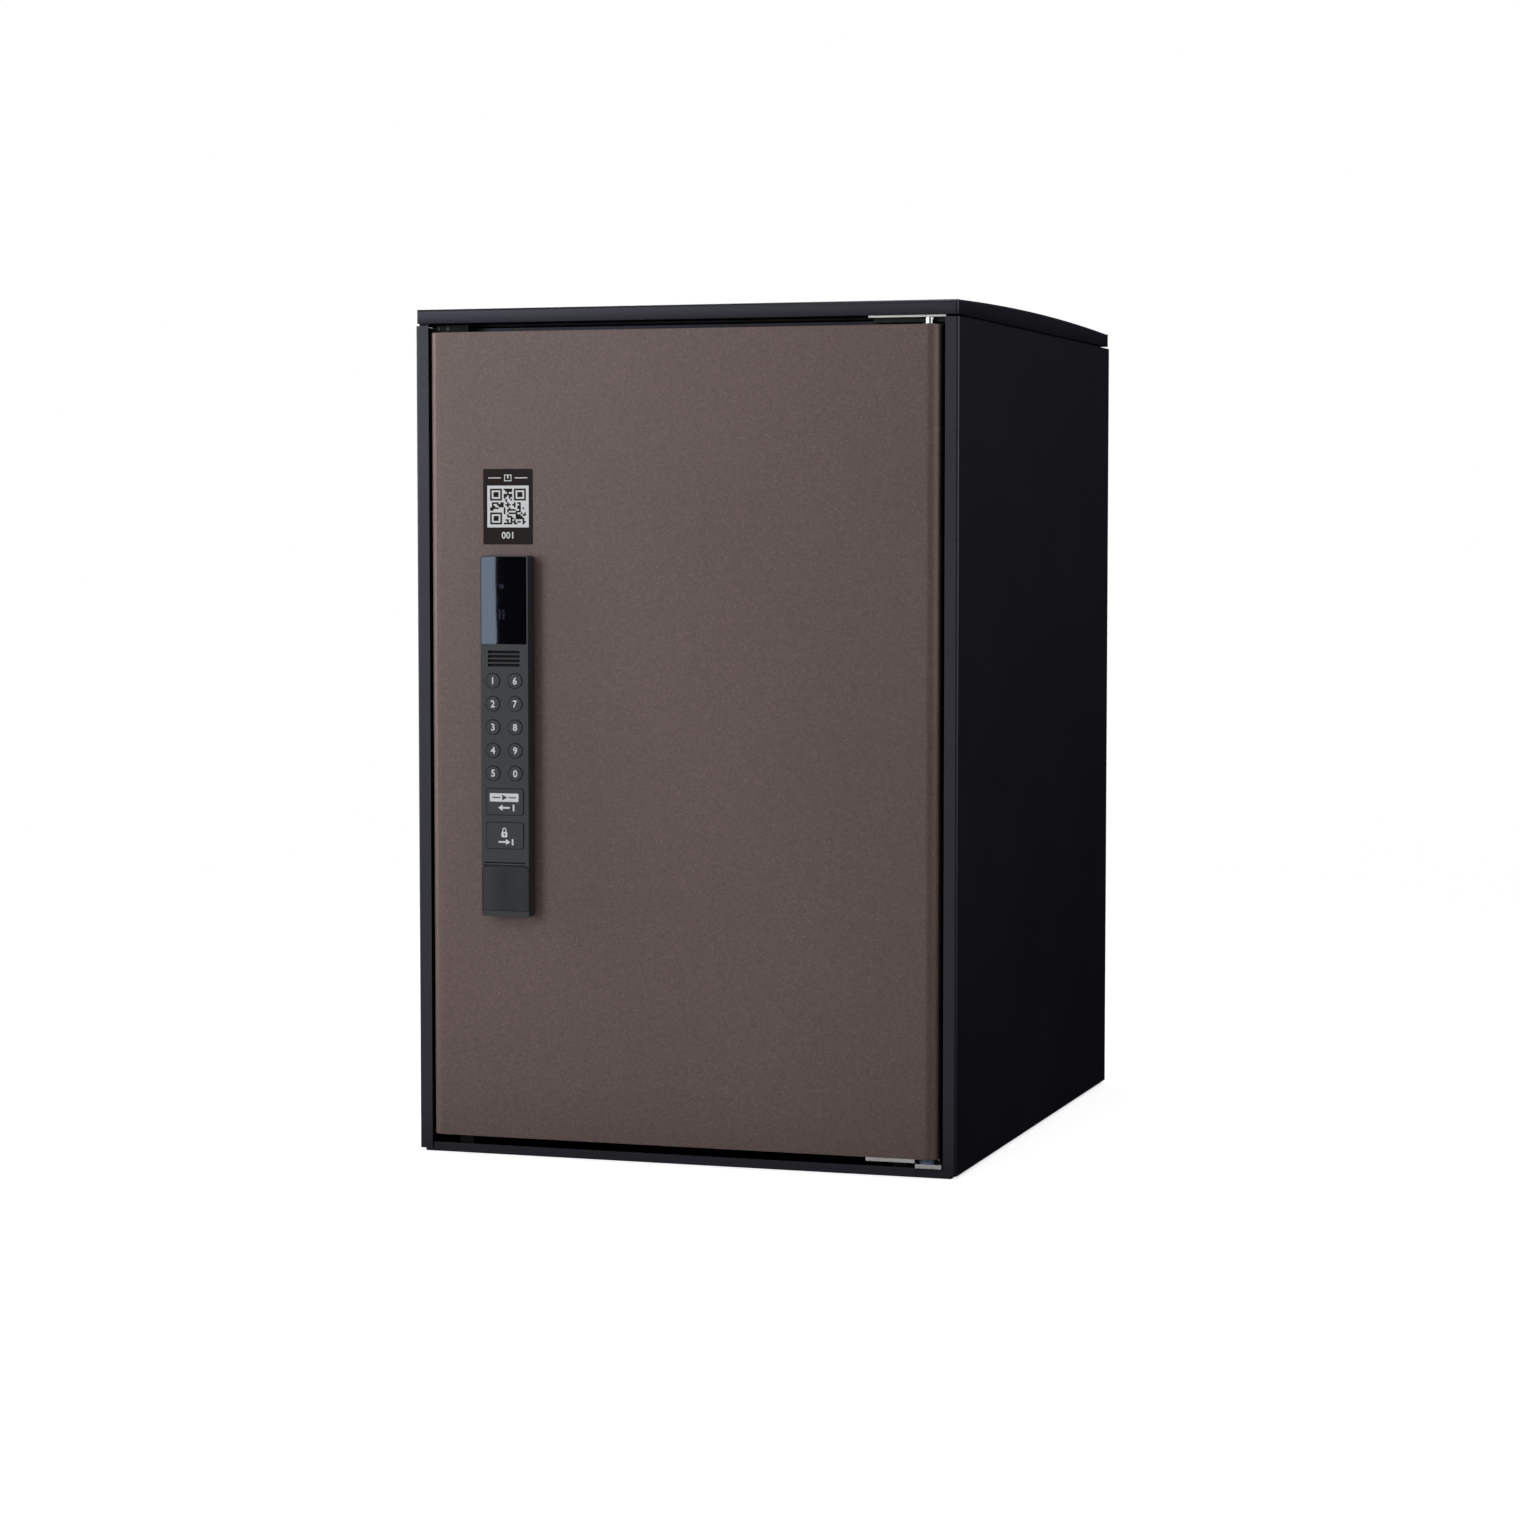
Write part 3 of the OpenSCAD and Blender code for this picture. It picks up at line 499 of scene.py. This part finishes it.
# open key: a filled bar with a play mark, over a bolt leaving its keeper
solid("open_key_bar", [rect(60.4, 248.7, 81.7, 254.5, 0.7)], KEY_Y, 0.06, WHITE_INK, "open_key")
solid("open_key_bar_marks", [[(69.6, 249.7), (73.6, 251.6), (69.6, 253.5)], rect(62.4, 251.2, 68.2, 252.0),
                             rect(74.4, 251.2, 79.8, 252.0)],
      KEY_Y - 0.012, 0.06, DARK_INK, "open_key")
arrow_l = [(66.6, 244.55), (69.8, 242.4), (69.8, 243.95), (75.2, 243.95), (75.2, 245.15), (69.8, 245.15), (69.8, 246.7)]
solid("open_key_legend", [rect(77.4, 242.3, 78.6, 246.8), arrow_l], KEY_Y, 0.06, WHITE_INK, "open_key")
# lock key: a padlock, over a bolt entering its keeper
shackle = []
for i in range(13):
    a = math.pi * i / 12
    shackle.append((71.15 + 1.5 * math.cos(a), 228.9 + 1.9 * math.sin(a)))
for i in range(12, -1, -1):
    a = math.pi * i / 12
    shackle.append((71.15 + 0.8 * math.cos(a), 228.9 + 1.15 * math.sin(a)))
shackle = [(72.65, 227.6)] + shackle[:13] + [(69.65, 227.6), (70.35, 227.6)] + shackle[13:] + [(71.95, 227.6)]
solid("lock_key_icon", [rect(69.0, 224.1, 73.3, 227.9, 0.6), shackle], KEY_Y, 0.06, WHITE_INK, "lock_key")
solid("lock_key_icon_hole", [disc(71.15, 226.3, 0.55), rect(70.93, 225.0, 71.37, 226.3)], KEY_Y - 0.012, 0.06,
      DARK_INK, "lock_key")
arrow_k = [(75.4, 220.85), (72.2, 223.0), (72.2, 221.45), (66.8, 221.45), (66.8, 220.25), (72.2, 220.25), (72.2, 218.7)]
solid("lock_key_legend", [rect(76.6, 218.7, 77.8, 223.0), arrow_k], KEY_Y, 0.06, WHITE_INK, "lock_key")

# faint indicator marks inside the display window
WIN_Y = -15.51
solid("window_indicator", [disc(69.6, 397.2, 1.9)], WIN_Y, 0.05, BLUE_GLOW, "door")
solid("window_bars", [rect(67.4, 374.5, 69.0, 381.5, 0.4), rect(70.2, 374.5, 71.8, 381.5, 0.4)], WIN_Y, 0.05,
      BLUE_GLOW, "door")

# label: plain parcel icon between two rules, a white square with a plain block pattern, and a unit number
LAB_Y = -4.312
solid("label_white_square", [rect(54.8, 437.7, 85.5, 466.5)], LAB_Y, 0.05, WHITE_INK, "door")
rnd = random.Random(7)
K = 21
x0, z0, x1, z1 = 56.9, 439.8, 83.4, 464.4
cw, ch = (x1 - x0) / K, (z1 - z0) / K
blocks = []


def cell_row(j, i0, i1):
    blocks.append(rect(x0 + i0 * cw, z0 + j * ch, x0 + i1 * cw, z0 + (j + 1) * ch - 0.0))


grid = [[rnd.random() < 0.48 for _ in range(K)] for _ in range(K)]
for (ci, cj) in ((0, K - 7), (K - 7, K - 7), (0, 0)):
    for a in range(-1, 8):
        for b in range(-1, 8):
            i, j = ci + a, cj + b
            if 0 <= i < K and 0 <= j < K:
                ring = max(abs(a - 3), abs(b - 3))
                grid[j][i] = ring == 3 or ring <= 1
for j in range(K):
    i = 0
    while i < K:
        if grid[j][i]:
            k = i
            while k < K and grid[j][k]:
                k += 1
            cell_row(j, i, k)
            i = k
        else:
            i += 1
solid("label_block_pattern", blocks, LAB_Y - 0.010, 0.03, LABEL_DARK, "door")
parcel = [rect(67.4, 469.5, 72.8, 470.1), rect(67.4, 473.5, 72.8, 474.1), rect(67.4, 470.1, 68.0, 473.5),
          rect(72.2, 470.1, 72.8, 473.5), rect(69.6, 471.4, 70.6, 473.5)]
solid("label_parcel_icon", parcel + [rect(55.6, 471.45, 64.9, 472.15), rect(75.3, 471.45, 84.6, 472.15)], LAB_Y, 0.05,
      WHITE_INK, "door")
text_plate("label_unit_number", "001", 4.7, 69.7, 432.3, LAB_Y, WHITE_INK, "door", bold=0.022, spacing=1.06)

# ------------------------------------------------------------------ floor, light, camera
bm = bmesh.new()
bmesh.ops.create_circle(bm, cap_ends=True, segments=128, radius=2.4)
me = bpy.data.meshes.new("studio_floor")
bm.to_mesh(me)
bm.free()
floor = bpy.data.objects.new("studio_floor", me)
floor.location = (0, 0, -0.0002)
scene.collection.objects.link(floor)
fm = bpy.data.materials.new("studio_floor_white")
fm.use_nodes = True
t = fm.node_tree
for n in list(t.nodes):
    t.nodes.remove(n)
out = t.nodes.new("ShaderNodeOutputMaterial")
dif = t.nodes.new("ShaderNodeBsdfDiffuse")
dif.inputs[0].default_value = (0.85, 0.85, 0.85, 1)
emi = t.nodes.new("ShaderNodeEmission")
emi.inputs[0].default_value = (1, 1, 1, 1)
emi.inputs[1].default_value = 0.66
add = t.nodes.new("ShaderNodeAddShader")
t.links.new(dif.outputs[0], add.inputs[0])
t.links.new(emi.outputs[0], add.inputs[1])
tra = t.nodes.new("ShaderNodeBsdfTransparent")
mx = t.nodes.new("ShaderNodeMixShader")
tc = t.nodes.new("ShaderNodeTexCoord")
ln = t.nodes.new("ShaderNodeVectorMath")
ln.operation = "LENGTH"
t.links.new(tc.outputs["Object"], ln.inputs[0])
mr = t.nodes.new("ShaderNodeMapRange")
mr.interpolation_type = "SMOOTHSTEP"
for i, v in ((1, 0.7), (2, 2.2), (3, 0.0), (4, 1.0)):
    mr.inputs[i].default_value = v
t.links.new(ln.outputs["Value"], mr.inputs[0])
t.links.new(mr.outputs[0], mx.inputs[0])
t.links.new(add.outputs[0], mx.inputs[1])
t.links.new(tra.outputs[0], mx.inputs[2])
t.links.new(mx.outputs[0], out.inputs[0])
me.materials.append(fm)
floor.visible_glossy = False
floor.visible_diffuse = False
floor.visible_shadow = False

world = bpy.data.worlds.new("studio")
scene.world = world
world.use_nodes = True
t = world.node_tree
for n in list(t.nodes):
    t.nodes.remove(n)
out = t.nodes.new("ShaderNodeOutputWorld")
lp = t.nodes.new("ShaderNodeLightPath")
bg_cam = t.nodes.new("ShaderNodeBackground")
bg_cam.inputs[0].default_value = (1, 1, 1, 1)
bg_cam.inputs[1].default_value = 1.0
bg = t.nodes.new("ShaderNodeBackground")
tc = t.nodes.new("ShaderNodeTexCoord")
sp = t.nodes.new("ShaderNodeSeparateXYZ")
t.links.new(tc.outputs["Generated"], sp.inputs[0])
cr = t.nodes.new("ShaderNodeValToRGB")
e = cr.color_ramp.elements
e[0].position, e[0].color = 0.42, (0.001, 0.0005, 0.0006, 1)
e[1].position, e[1].color = 0.62, (0.048, 0.048, 0.060, 1)
mr = t.nodes.new("ShaderNodeMapRange")
for i, v in ((1, -1.0), (2, 1.0), (3, 0.0), (4, 1.0)):
    mr.inputs[i].default_value = v
t.links.new(sp.outputs[2], mr.inputs[0])
t.links.new(mr.outputs[0], cr.inputs[0])
t.links.new(cr.outputs[0], bg.inputs[0])
bg.inputs[1].default_value = 1.0
mx = t.nodes.new("ShaderNodeMixShader")
t.links.new(lp.outputs["Is Camera Ray"], mx.inputs[0])
t.links.new(bg.outputs[0], mx.inputs[1])
t.links.new(bg_cam.outputs[0], mx.inputs[2])
t.links.new(mx.outputs[0], out.inputs[0])


def area(name, loc, look, sx, sy, power, color=(1, 1, 1), spread=None):
    l = bpy.data.lights.new(name, "AREA")
    l.shape = "RECTANGLE"
    l.size, l.size_y = sx, sy
    l.energy = power
    l.color = color
    if spread:
        l.spread = math.radians(spread)
    o = bpy.data.objects.new(name, l)
    o.location = loc
    o.rotation_euler = (Vector(look) - Vector(loc)).to_track_quat("-Z", "Y").to_euler()
    scene.collection.objects.link(o)
    o.visible_camera = False
    return o


def radiance(L, sx, sy):
    """Power of a rectangular area light that shows that radiance."""
    return L * math.pi * sx * sy


# left softbox: its right edge is placed where the display window mirrors it
CAM = Vector((0.81537, -2.58171, 0.43441))
win = P(65.2, -15.5, 387)
ray = win - CAM
ray.y = -ray.y
edge = win + ray.normalized() * 2.5
axis = Vector((-0.80, 0.60, 0.0)).normalized()
SX, SY = 1.0, 1.7
c = edge + axis * SX / 2
c.z = 1.03
area("softbox_left", c, c + Vector((axis.y, -axis.x, 0)), SX, SY, radiance(3.7, SX, SY), (0.93, 0.97, 1.0))
# front overhead softbox
area("softbox_front_top", (-0.45, -1.9, 2.0), (0, 0, 0.3), 1.6, 1.0, radiance(1.9, 1.6, 1.0), (1.0, 0.98, 0.96))
# thin strip for the right-hand corner
area("strip_right", (1.70, -0.35, 0.80), (0.19, -0.22, 0.70), 1.3, 1.15, radiance(2.2, 1.3, 1.15))
# soft fills: from the floor in front, from straight ahead, and past each side of the door
area("floor_bounce", (-0.55, -1.35, -0.004), (-0.55, -1.35, 1.0), 1.45, 2.1, radiance(0.40, 1.45, 2.1), (1.0, 0.98, 0.96))
area("front_fill", (-0.40, -3.0, 0.42), (-0.20, 0.0, 0.35), 1.0, 1.3, radiance(1.05, 1.0, 1.3), (1.0, 0.98, 0.97))
area("strip_left", (-2.15, -0.45, 0.75), (-0.18, -0.22, 0.3), 0.7, 1.5, radiance(6.0, 0.7, 1.5), (1.0, 0.96, 0.93))
area("fill_right", (2.2, -2.0, 1.0), (0.18, -0.22, 0.3), 0.8, 1.6, radiance(0.9, 0.8, 1.6))
# dim panels that keep the other sides readable
area("panel_side", (3.2, 0.6, 1.3), (0.2, 0.0, 0.3), 1.8, 1.4, radiance(0.35, 1.8, 1.4))
area("softbox_back", (-1.6, 2.2, 1.7), (0, 0.2, 0.3), 1.4, 1.2, radiance(3.2, 1.4, 1.2))
area("softbox_top", (0.3, 0.2, 2.2), (0, 0.0, 0.5), 1.2, 0.9, radiance(4.0, 1.2, 0.9))

cam_data = bpy.data.cameras.new("camera")
cam_data.sensor_width = 36.0
cam_data.lens = 86.64
cam_data.clip_start, cam_data.clip_end = 0.05, 50
cam = bpy.data.objects.new("camera", cam_data)
cam.location = CAM
cam.rotation_euler = (math.radians(86.4367), 0.0, math.radians(17.8331))
scene.collection.objects.link(cam)
scene.camera = cam
scene.view_settings.view_transform = "Standard"
scene.view_settings.look = "None"

bpy.context.view_layer.update()
